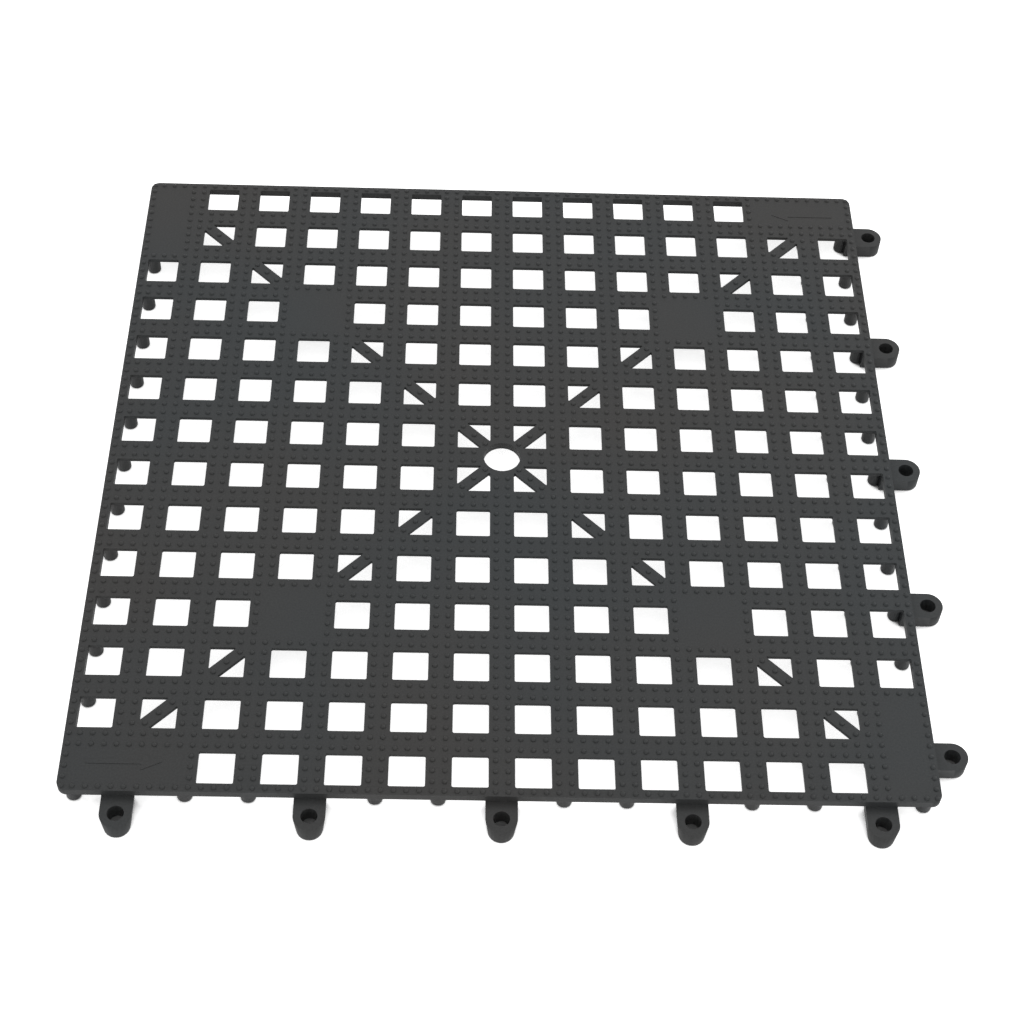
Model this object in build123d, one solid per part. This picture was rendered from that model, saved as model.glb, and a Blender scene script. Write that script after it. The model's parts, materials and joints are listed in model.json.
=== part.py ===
from build123d import *
import os

# Modular floor mat tile: one moulded plastic grid on short legs. Sockets in tabs on two edges take the edge
# legs of the next tiles. Millimetres. The origin is on the axis of the round centre hole, at the walking
# surface, with +Z up, the tabs on the +X and -Y edges, and the feet below.

# Grid
cell_count = 14
cell_pitch = 22.0
hole_side = 12.8
hole_corner_radius = 0.6
rim_width = 3.5
brace_width = 4.6
brace_corner_radius = 0.3

# Heights, counted down from the walking surface
deck_thickness = 1.5
rim_depth = 3.0
collar_depth = 3.3
tile_height = 10.5

# Corners and centre hole
corner_radius = 3.5
centre_hole_diameter = 14.3
collar_wall = 1.6

# Legs
leg_diameter = 5.5
leg_tip_chamfer = 0.6
edge_leg_inset = 4.6

# Round-topped nubs on the braces. They stand on the same lattice as the fine nubs of the bars.
nub_diameter = 1.95
nub_height = 0.65
nub_top_radius = 0.6
nubs_per_cell = 5

# Socket tabs
first_tab_crossing = 1
tab_crossing_step = 3
socket_clearance = 0.18
tab_end_wall = 2.7
tab_side_draft = 0.95
tab_rim_clearance = 0.4
tab_floor_clearance = 0.5
tab_web_thickness = 4.2

# Worked out from the sizes above
last_cell = cell_count - 1
grid_half = last_cell / 2 * cell_pitch + hole_side / 2
half_side = grid_half + rim_width
edge_leg_place = half_side - edge_leg_inset
socket_place = cell_count * cell_pitch - edge_leg_place
socket_radius = leg_diameter / 2 + socket_clearance
tab_half_width = socket_radius + tab_end_wall
tab_top = -(rim_depth + tab_rim_clearance)
tab_bottom = -(tile_height - tab_floor_clearance)
nub_pitch = cell_pitch / nubs_per_cell
cutter_height = 3 * tile_height


def quarter_turns(cell):
    """The four cells that one cell becomes as the tile is turned by quarter turns about its centre."""
    turned = [cell]
    for _ in range(3):
        column, row = turned[-1]
        turned.append((row, last_cell - column))
    return turned


def solid_cells():
    """Cells with no opening: a two-cell panel in each corner, and a square a quarter of the way in."""
    quarter = cell_count // 4
    closed = []
    for cell in ((0, last_cell), (0, last_cell - 1), (quarter, quarter)):
        closed += quarter_turns(cell)
    return closed


def open_cells():
    """All the other cells. A cell is its column from the left edge and its row from the front edge."""
    closed = solid_cells()
    cells = [(column, row) for column in range(cell_count) for row in range(cell_count)]
    return [cell for cell in cells if cell not in closed]


def cell_centre(cell):
    """Place of a cell's centre on the tile."""
    column, row = cell
    return (column - last_cell / 2) * cell_pitch, (row - last_cell / 2) * cell_pitch


def brace_angle(cell):
    """Direction of a cell's brace, or None for a cell that is on neither diagonal of the tile."""
    column, row = cell
    if column == row:
        return 45
    if column + row == last_cell:
        return -45
    return None


def opening(cell):
    """A cell's opening: a square, or two triangles beside a brace, with rounded corners."""
    shape = Rectangle(hole_side, hole_side)
    corner = hole_corner_radius
    angle = brace_angle(cell)
    if angle is not None:
        shape -= Rot(0, 0, angle) * Rectangle(2 * hole_side, brace_width)
        corner = brace_corner_radius
    return Pos(*cell_centre(cell)) * fillet(shape.vertices(), corner)


def deck():
    """The walking grid, with its deeper rim."""
    outline = RectangleRounded(2 * half_side, 2 * half_side, corner_radius)
    grid = extrude(outline - [opening(cell) for cell in open_cells()], -deck_thickness)
    rim = extrude(outline - Rectangle(2 * grid_half, 2 * grid_half), -rim_depth)
    return grid + rim


def brace_nubs():
    """Three round-topped nubs along the middle of each brace, from inside the deck."""
    length = nub_height + deck_thickness / 2
    shaft = Pos(0, 0, nub_height - length / 2) * Cylinder(nub_diameter / 2, length)
    shape = fillet(shaft.edges().group_by(Axis.Z)[-1], nub_top_radius)
    placed = []
    for cell in open_cells():
        angle = brace_angle(cell)
        if angle is not None:
            spots = [step * nub_pitch * 2 ** 0.5 for step in (-1, 0, 1)]
            placed += [Pos(*cell_centre(cell)) * Rot(0, 0, angle) * Pos(spot, 0, 0) * shape for spot in spots]
    return placed


def crossing_place(index):
    """Distance of a crossing from the tile's centre. The outermost legs stand inside the rim."""
    place = (index - cell_count / 2) * cell_pitch
    return max(-edge_leg_place, min(edge_leg_place, place))


def legs():
    """A leg under every crossing but the centre one, from inside the deck down to a chamfered foot."""
    length = tile_height - deck_thickness / 2
    shaft = Pos(0, 0, -tile_height + length / 2) * Cylinder(leg_diameter / 2, length)
    shape = chamfer(shaft.edges().group_by(Axis.Z)[0], leg_tip_chamfer)
    places = [crossing_place(index) for index in range(cell_count + 1)]
    return [Pos(x, y, 0) * shape for x in places for y in places if (x, y) != (0, 0)]


def tab_outline(half_width):
    """Plan of a tab on the +X edge at one height: straight sides from under the rim to a round end."""
    end_centre = socket_place + tab_half_width - half_width
    left = Line((end_centre, half_width), (grid_half, half_width))
    inner = Line((grid_half, half_width), (grid_half, -half_width))
    right = Line((grid_half, -half_width), (end_centre, -half_width))
    end = ThreePointArc((end_centre, -half_width), (end_centre + half_width, 0), (end_centre, half_width))
    return make_face([left, inner, right, end])


def tab():
    """One socket tab on the +X edge: its body, its seat under the rim and the web to the edge leg."""
    top = Pos(0, 0, tab_top) * tab_outline(tab_half_width)
    bottom = Pos(0, 0, tab_bottom) * tab_outline(tab_half_width - tab_side_draft)
    body = loft([bottom, top], ruled=True)
    seat_height = -tab_top - deck_thickness / 2
    seat_middle = ((grid_half + half_side) / 2, 0, tab_top + seat_height / 2)
    seat = Pos(*seat_middle) * Box(rim_width, 2 * tab_half_width, seat_height)
    web_height = -tab_bottom - deck_thickness / 2
    web_middle = (half_side - edge_leg_inset / 2, 0, tab_bottom + web_height / 2)
    web = Pos(*web_middle) * Box(edge_leg_inset, tab_web_thickness, web_height)
    socket = Pos(socket_place, 0, 0) * Cylinder(socket_radius, cutter_height)
    return body + seat + web - socket


def tabs():
    """The tabs of the +X edge, and the same turned onto the -Y edge."""
    shape = tab()
    crossings = range(first_tab_crossing, cell_count, tab_crossing_step)
    row = [Pos(0, crossing_place(index), 0) * shape for index in crossings]
    return row + [Rot(0, 0, -90) * one for one in row]


def tile():
    """The whole moulding, as one solid."""
    collar = Pos(0, 0, -collar_depth / 2) * Cylinder(centre_hole_diameter / 2 + collar_wall, collar_depth)
    body = deck().fuse(collar, *legs(), *tabs(), *brace_nubs())
    return body - Cylinder(centre_hole_diameter / 2, cutter_height)


os.makedirs("parts", exist_ok=True)
export_step(tile(), "parts/floor_mat_tile.step")
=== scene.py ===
import json
import math

import bpy
from mathutils import Matrix, Vector

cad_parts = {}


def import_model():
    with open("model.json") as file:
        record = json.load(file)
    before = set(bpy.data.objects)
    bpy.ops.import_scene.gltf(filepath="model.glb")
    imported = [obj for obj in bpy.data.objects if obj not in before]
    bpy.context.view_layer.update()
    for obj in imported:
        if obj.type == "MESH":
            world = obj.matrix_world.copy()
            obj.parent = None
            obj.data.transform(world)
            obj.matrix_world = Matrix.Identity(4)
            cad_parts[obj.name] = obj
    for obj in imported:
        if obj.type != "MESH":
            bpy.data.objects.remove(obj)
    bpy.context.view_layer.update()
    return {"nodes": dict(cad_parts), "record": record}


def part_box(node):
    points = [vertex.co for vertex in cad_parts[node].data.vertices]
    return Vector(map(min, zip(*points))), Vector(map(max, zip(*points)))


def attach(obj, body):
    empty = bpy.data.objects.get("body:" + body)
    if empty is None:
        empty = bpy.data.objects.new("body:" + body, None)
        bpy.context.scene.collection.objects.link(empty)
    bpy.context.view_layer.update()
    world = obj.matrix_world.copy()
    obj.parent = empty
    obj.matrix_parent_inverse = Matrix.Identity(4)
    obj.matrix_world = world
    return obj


# Looks of the modular floor mat tile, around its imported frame. Metres, +Z up, origin on the centre hole's axis at
# the walking surface. The camera looks at the front edge, which is on -Y.

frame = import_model()
mounts = {mount["name"]: mount for mount in frame["record"]["mounts"]}
tile = frame["nodes"]["floor_mat_tile"]

# Sizes read from the frame
CELLS_BETWEEN_TABS = 3
low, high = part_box("floor_mat_tile")
half_side = -low.x
floor_level = low.z
nub_height = high.z
socket_y = [mounts[f"right_socket_{number}"]["pos_m"][1] for number in (3, 4)]
cell_pitch = (socket_y[1] - socket_y[0]) / CELLS_BETWEEN_TABS
cell_count = round(2 * half_side / cell_pitch)
centre_hole_radius = mounts["centre_hole"]["dims"]["r_mm"] / 1000

# Nubs: five to a cell along each bar, on one lattice over the whole tile. Each is steep at its foot and has a
# rounded top: the profile gives its rings' shares of the nub's radius and height.
NUBS_PER_CELL = 5
NUB_RADIUS = 0.00097
NUB_SEGMENTS = 12
NUB_PROFILE = ((0.88, 0.58), (0.53, 0.92))
NUB_SINK = 0.00005
RIM_WIDTH = 0.0035
BARE_RING = 0.0022
PANEL_NUBS_ACROSS = 3
PANEL_NUBS_ALONG = 9
nub_pitch = cell_pitch / NUBS_PER_CELL
last_nub = cell_count * NUBS_PER_CELL - 1

# Plain low arrows on two corner panels
ARROW_TAIL = -0.144
ARROW_TIP = -0.1177
ARROW_LINE = -0.1412
ARROW_HEAD_LENGTH = 0.007
ARROW_HEAD_HALF_WIDTH = 0.0033
ARROW_SHAFT_HALF_WIDTH = 0.0009
ARROW_HEIGHT = 0.00015

# Softened edges of the moulding
WELD_DISTANCE = 0.000001
FLAT_ANGLE = math.radians(0.5)
EDGE_RADIUS = 0.00022
EDGE_ANGLE = math.radians(35)


def new_object(name, data):
    """An object of the scene with this mesh, lamp or camera."""
    made = bpy.data.objects.new(name, data)
    bpy.context.scene.collection.objects.link(made)
    return made


# Material. Each noise is its scale, detail and roughness, and each bump its strength and distance.
PLASTIC_IOR = 1.5
PLASTIC_SPECULAR = 0.25
TONE_STOPS = ((0.35, (0.042, 0.041, 0.040)), (0.65, (0.037, 0.041, 0.043)))
FLECK_STOPS = ((0.3, (0.86, 0.86, 0.86)), (0.7, (1.12, 1.12, 1.12)))
GLOSS_LOW = 0.38
GLOSS_HIGH = 0.54
TONE_NOISE = (9, 2, 0.5)
FLECK_NOISE = (1400, 2, 0.6)
GLOSS_NOISE = (260, 3, 0.55)
GRAIN_NOISE = (2600, 3, 0.6)
WAVE_NOISE = (70, 1, 0.4)
GRAIN_BUMP = (0.35, 0.00006)
WAVE_BUMP = (0.25, 0.0004)


def moulded_plastic():
    """Matte charcoal plastic with the fine grain of a spark-eroded mould and a faint drift of tone."""
    material = bpy.data.materials.new("moulded_plastic")
    material.use_nodes = True
    nodes, links = material.node_tree.nodes, material.node_tree.links
    shader = nodes["Principled BSDF"]
    shader.inputs["IOR"].default_value = PLASTIC_IOR
    shader.inputs["Specular IOR Level"].default_value = PLASTIC_SPECULAR
    place = nodes.new("ShaderNodeTexCoord")

    def noise(scale, detail, roughness):
        node = nodes.new("ShaderNodeTexNoise")
        node.inputs["Scale"].default_value = scale
        node.inputs["Detail"].default_value = detail
        node.inputs["Roughness"].default_value = roughness
        links.new(place.outputs["Object"], node.inputs["Vector"])
        return node.outputs["Fac"]

    def ramp(source, stops):
        node = nodes.new("ShaderNodeValToRGB")
        for element, (position, colour) in zip(node.color_ramp.elements, stops):
            element.position = position
            element.color = (*colour, 1)
        links.new(source, node.inputs["Fac"])
        return node.outputs["Color"]

    def bump(source, strength, distance):
        node = nodes.new("ShaderNodeBump")
        node.inputs["Strength"].default_value = strength
        node.inputs["Distance"].default_value = distance
        links.new(source, node.inputs["Height"])
        return node

    mix = nodes.new("ShaderNodeMix")
    mix.data_type = "RGBA"
    mix.blend_type = "MULTIPLY"
    mix.inputs["Factor"].default_value = 1
    links.new(ramp(noise(*TONE_NOISE), TONE_STOPS), mix.inputs["A"])
    links.new(ramp(noise(*FLECK_NOISE), FLECK_STOPS), mix.inputs["B"])
    links.new(mix.outputs["Result"], shader.inputs["Base Color"])

    gloss = nodes.new("ShaderNodeMapRange")
    gloss.inputs["To Min"].default_value = GLOSS_LOW
    gloss.inputs["To Max"].default_value = GLOSS_HIGH
    links.new(noise(*GLOSS_NOISE), gloss.inputs["Value"])
    links.new(gloss.outputs["Result"], shader.inputs["Roughness"])

    grain = bump(noise(*GRAIN_NOISE), *GRAIN_BUMP)
    wave = bump(noise(*WAVE_NOISE), *WAVE_BUMP)
    links.new(grain.outputs["Normal"], wave.inputs["Normal"])
    links.new(wave.outputs["Normal"], shader.inputs["Normal"])
    return material


# The moulding itself

def soften(piece):
    """Rounds the sharp edges of the CAD solid by modifiers, with its own mesh as it was."""
    weld = piece.modifiers.new("weld", "WELD")
    weld.merge_threshold = WELD_DISTANCE
    flat = piece.modifiers.new("flat_faces", "DECIMATE")
    flat.decimate_type = "DISSOLVE"
    flat.angle_limit = FLAT_ANGLE
    bevel = piece.modifiers.new("edge_radius", "BEVEL")
    bevel.width = EDGE_RADIUS
    bevel.segments = 1
    bevel.limit_method = "ANGLE"
    bevel.angle_limit = EDGE_ANGLE
    bevel.harden_normals = True


# Nubs

def nub_place(index):
    """Distance of a nub line from the tile's centre. The outermost line runs along the middle of the rim."""
    place = (index - last_nub / 2) * nub_pitch
    rim_middle = half_side - RIM_WIDTH / 2
    return max(-rim_middle, min(rim_middle, place))


def quarter_turns(spots):
    """These lattice spots and their copies turned by quarter turns about the tile's centre."""
    turned = set(spots)
    for _ in range(3):
        spots = [(row, last_nub - column) for column, row in spots]
        turned |= set(spots)
    return turned


def bare_spots():
    """Lattice spots left bare: a panel in each corner, and a square a quarter of the way in."""
    panel = [(column, last_nub - row) for column in range(1, 1 + PANEL_NUBS_ACROSS)
             for row in range(1, 1 + PANEL_NUBS_ALONG)]
    start = cell_count // 4 * NUBS_PER_CELL
    square = [(column, row) for column in range(start, start + NUBS_PER_CELL)
              for row in range(start, start + NUBS_PER_CELL)]
    return quarter_turns(panel) | quarter_turns(square)


def nub_spots():
    """Places of all the nubs on the bars and the rim. Those on the braces are in the CAD solid."""
    bare = bare_spots()
    beside_bar = (0, NUBS_PER_CELL - 1)
    spots = []
    for column in range(last_nub + 1):
        for row in range(last_nub + 1):
            on_bar = column % NUBS_PER_CELL in beside_bar or row % NUBS_PER_CELL in beside_bar
            x, y = nub_place(column), nub_place(row)
            clear_of_hole = math.hypot(x, y) > centre_hole_radius + BARE_RING
            if on_bar and clear_of_hole and (column, row) not in bare:
                spots.append((x, y))
    return spots


def nub_rings():
    """Radius and height of each ring of a nub. The lowest ring is just inside the deck."""
    return [(NUB_RADIUS, -NUB_SINK)] + [(NUB_RADIUS * wide, nub_height * tall) for wide, tall in NUB_PROFILE]


def nubs(material):
    """One mesh of all the nubs."""
    mesh = bpy.data.meshes.new("nubs")
    points, faces = [], []
    angles = [2 * math.pi * step / NUB_SEGMENTS for step in range(NUB_SEGMENTS)]
    rings = nub_rings()
    for x, y in nub_spots():
        start = len(points)
        points += [(x + radius * math.cos(angle), y + radius * math.sin(angle), z)
                   for radius, z in rings for angle in angles]
        for ring in range(len(rings) - 1):
            for step in range(NUB_SEGMENTS):
                a = start + ring * NUB_SEGMENTS + step
                b = start + ring * NUB_SEGMENTS + (step + 1) % NUB_SEGMENTS
                faces.append((a, b, b + NUB_SEGMENTS, a + NUB_SEGMENTS))
        crown = len(points)
        points.append((x, y, nub_height))
        top = start + (len(rings) - 1) * NUB_SEGMENTS
        faces += [(top + step, top + (step + 1) % NUB_SEGMENTS, crown) for step in range(NUB_SEGMENTS)]
    mesh.from_pydata(points, [], faces)
    mesh.materials.append(material)
    mesh.shade_smooth()
    piece = new_object("nubs", mesh)
    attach(piece, "root")
    return piece


# Arrows

def arrow_outline():
    """Corners of the arrow on the front left panel. It points to the right along the front edge."""
    neck = ARROW_TIP - ARROW_HEAD_LENGTH
    upper = [(ARROW_TAIL, ARROW_SHAFT_HALF_WIDTH), (neck, ARROW_SHAFT_HALF_WIDTH), (neck, ARROW_HEAD_HALF_WIDTH)]
    lower = [(x, -width) for x, width in upper]
    return [(x, ARROW_LINE + y) for x, y in lower + [(ARROW_TIP, 0)] + upper[::-1]]


def panel_arrows(material):
    """The arrow on the front left panel, and the same turned half round on the back right one."""
    mesh = bpy.data.meshes.new("panel_arrows")
    points, faces = [], []
    for sign in (1, -1):
        outline = [(sign * x, sign * y) for x, y in arrow_outline()]
        start, count = len(points), len(outline)
        points += [(x, y, z) for z in (-NUB_SINK, ARROW_HEIGHT) for x, y in outline]
        for step in range(count):
            a, b = start + step, start + (step + 1) % count
            faces.append((a, b, b + count, a + count))
        faces.append(tuple(range(start + count, start + 2 * count)))
    mesh.from_pydata(points, [], faces)
    mesh.materials.append(material)
    piece = new_object("panel_arrows", mesh)
    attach(piece, "root")
    return piece


# Stage. To the camera the floor is painted darker where the tile covers it within reach, as in the sockets: painted
# shade under the tile.
STAGE_SIZE = 12
STAGE_WHITE = (0.88, 0.88, 0.88)
# The floor's colour where the tile covers it: a painted shade.
STAGE_PAINTED_SHADE = (0.3, 0.3, 0.3)
STAGE_GLOW = 0.82
STAGE_MIRRORED = 0.5
COVER_SAMPLES = 8
COVER_REACH = 0.0085
COVER_DARK = 0.35
COVER_CLEAR = 0.55


def seen_directly(nodes, links, mirrored):
    """1 for rays from the camera, mirrored for those from a mirror or a glass, and 0 for light on the object."""
    rays = nodes.new("ShaderNodeLightPath")
    seen = rays.outputs["Is Camera Ray"]
    for kind in ("Is Glossy Ray", "Is Transmission Ray"):
        share = nodes.new("ShaderNodeMath")
        share.operation = "MULTIPLY"
        links.new(rays.outputs[kind], share.inputs[0])
        share.inputs[1].default_value = mirrored
        either = nodes.new("ShaderNodeMath")
        either.operation = "MAXIMUM"
        links.new(seen, either.inputs[0])
        links.new(share.outputs["Value"], either.inputs[1])
        seen = either.outputs["Value"]
    return seen


def stage_material():
    """Matte white that keeps the object's shadow, and shows as a white background. To the camera its colour and
    glow are painted darker where the tile covers it, as painted shade. Clear when seen from below.
    """
    material = bpy.data.materials.new("stage_white")
    material.use_nodes = True
    nodes, links = material.node_tree.nodes, material.node_tree.links
    matte = nodes["Principled BSDF"]
    glowing = nodes.new("ShaderNodeBsdfPrincipled")
    matte.inputs["Base Color"].default_value = (*STAGE_WHITE, 1)
    for shader in (matte, glowing):
        shader.inputs["Roughness"].default_value = 1
        shader.inputs["Specular IOR Level"].default_value = 0
    cover = nodes.new("ShaderNodeAmbientOcclusion")
    cover.samples = COVER_SAMPLES
    cover.inputs["Distance"].default_value = COVER_REACH
    clear = nodes.new("ShaderNodeMapRange")
    clear.inputs["From Min"].default_value = COVER_DARK
    clear.inputs["From Max"].default_value = COVER_CLEAR
    links.new(cover.outputs["AO"], clear.inputs["Value"])
    # Painted shade: the floor's colour runs from dark grey where the tile covers it to white in the open, and its
    # glow fades the same way.
    colour = nodes.new("ShaderNodeMix")
    colour.data_type = "RGBA"
    colour.inputs["A"].default_value = (*STAGE_PAINTED_SHADE, 1)
    colour.inputs["B"].default_value = (*STAGE_WHITE, 1)
    links.new(clear.outputs["Result"], colour.inputs["Factor"])
    links.new(colour.outputs["Result"], glowing.inputs["Base Color"])
    glow = nodes.new("ShaderNodeMath")
    glow.operation = "MULTIPLY"
    links.new(clear.outputs["Result"], glow.inputs[0])
    glow.inputs[1].default_value = STAGE_GLOW
    glowing.inputs["Emission Color"].default_value = (1, 1, 1, 1)
    links.new(glow.outputs["Value"], glowing.inputs["Emission Strength"])
    choice = nodes.new("ShaderNodeMixShader")
    links.new(seen_directly(nodes, links, STAGE_MIRRORED), choice.inputs[0])
    links.new(matte.outputs["BSDF"], choice.inputs[1])
    links.new(glowing.outputs["BSDF"], choice.inputs[2])
    side = nodes.new("ShaderNodeNewGeometry")
    clear_below = nodes.new("ShaderNodeBsdfTransparent")
    sided = nodes.new("ShaderNodeMixShader")
    links.new(side.outputs["Backfacing"], sided.inputs[0])
    links.new(choice.outputs["Shader"], sided.inputs[1])
    links.new(clear_below.outputs["BSDF"], sided.inputs[2])
    links.new(sided.outputs["Shader"], nodes["Material Output"].inputs["Surface"])
    return material


def floor():
    """The plain floor that the tile lies on."""
    mesh = bpy.data.meshes.new("floor")
    half = STAGE_SIZE / 2
    corners = [(-half, -half, floor_level), (half, -half, floor_level), (half, half, floor_level),
               (-half, half, floor_level)]
    mesh.from_pydata(corners, [], [(0, 1, 2, 3)])
    mesh.materials.append(stage_material())
    new_object("floor", mesh)


# Light
WORLD_LIGHT = 0.85
BACKDROP = 1.0
KEY_POWER = 11
KEY_SIZE = 0.8
KEY_PLACE = (1.76, 1.48, 1.93)


def world():
    """Even light all round, seen as a white backdrop."""
    made = bpy.data.worlds.new("studio")
    bpy.context.scene.world = made
    made.use_nodes = True
    nodes, links = made.node_tree.nodes, made.node_tree.links
    strength = nodes.new("ShaderNodeMapRange")
    strength.inputs["To Min"].default_value = WORLD_LIGHT
    strength.inputs["To Max"].default_value = BACKDROP
    links.new(seen_directly(nodes, links, 1), strength.inputs["Value"])
    back = nodes["Background"]
    back.inputs["Color"].default_value = (1, 1, 1, 1)
    links.new(strength.outputs["Result"], back.inputs["Strength"])


def aim(piece, place, target, roll=0.0):
    """Puts a lamp or the camera at a place, looking at a target, turned about its line of sight by roll."""
    view = Vector(target) - Vector(place)
    turn = view.to_track_quat("-Z", "Y").to_matrix().to_4x4()
    piece.matrix_world = Matrix.Translation(place) @ turn @ Matrix.Rotation(roll, 4, "Z")


def key_light():
    """A large soft box overhead, behind the tile and to the right."""
    lamp = bpy.data.lights.new("softbox", "AREA")
    lamp.shape = "SQUARE"
    lamp.size = KEY_SIZE
    lamp.energy = KEY_POWER
    aim(new_object("softbox", lamp), KEY_PLACE, (0, 0, 0))


# Camera, as the photograph was taken
CAMERA_PLACE = (-0.01783, -0.50769, 0.60062)
CAMERA_TARGET = (0.00381, -0.02751, 0)
CAMERA_ROLL = math.radians(3.1)
CAMERA_LENS = 70.6
SENSOR = 36


def camera():
    """The photograph's view."""
    made = bpy.data.cameras.new("camera")
    made.sensor_width = SENSOR
    made.lens = CAMERA_LENS
    piece = new_object("camera", made)
    aim(piece, CAMERA_PLACE, CAMERA_TARGET, CAMERA_ROLL)
    bpy.context.scene.camera = piece


plastic = moulded_plastic()
tile.data.materials.clear()
tile.data.materials.append(plastic)
soften(tile)
nubs(plastic)
panel_arrows(plastic)
floor()
world()
key_light()
camera()
bpy.context.scene.view_settings.view_transform = "Standard"
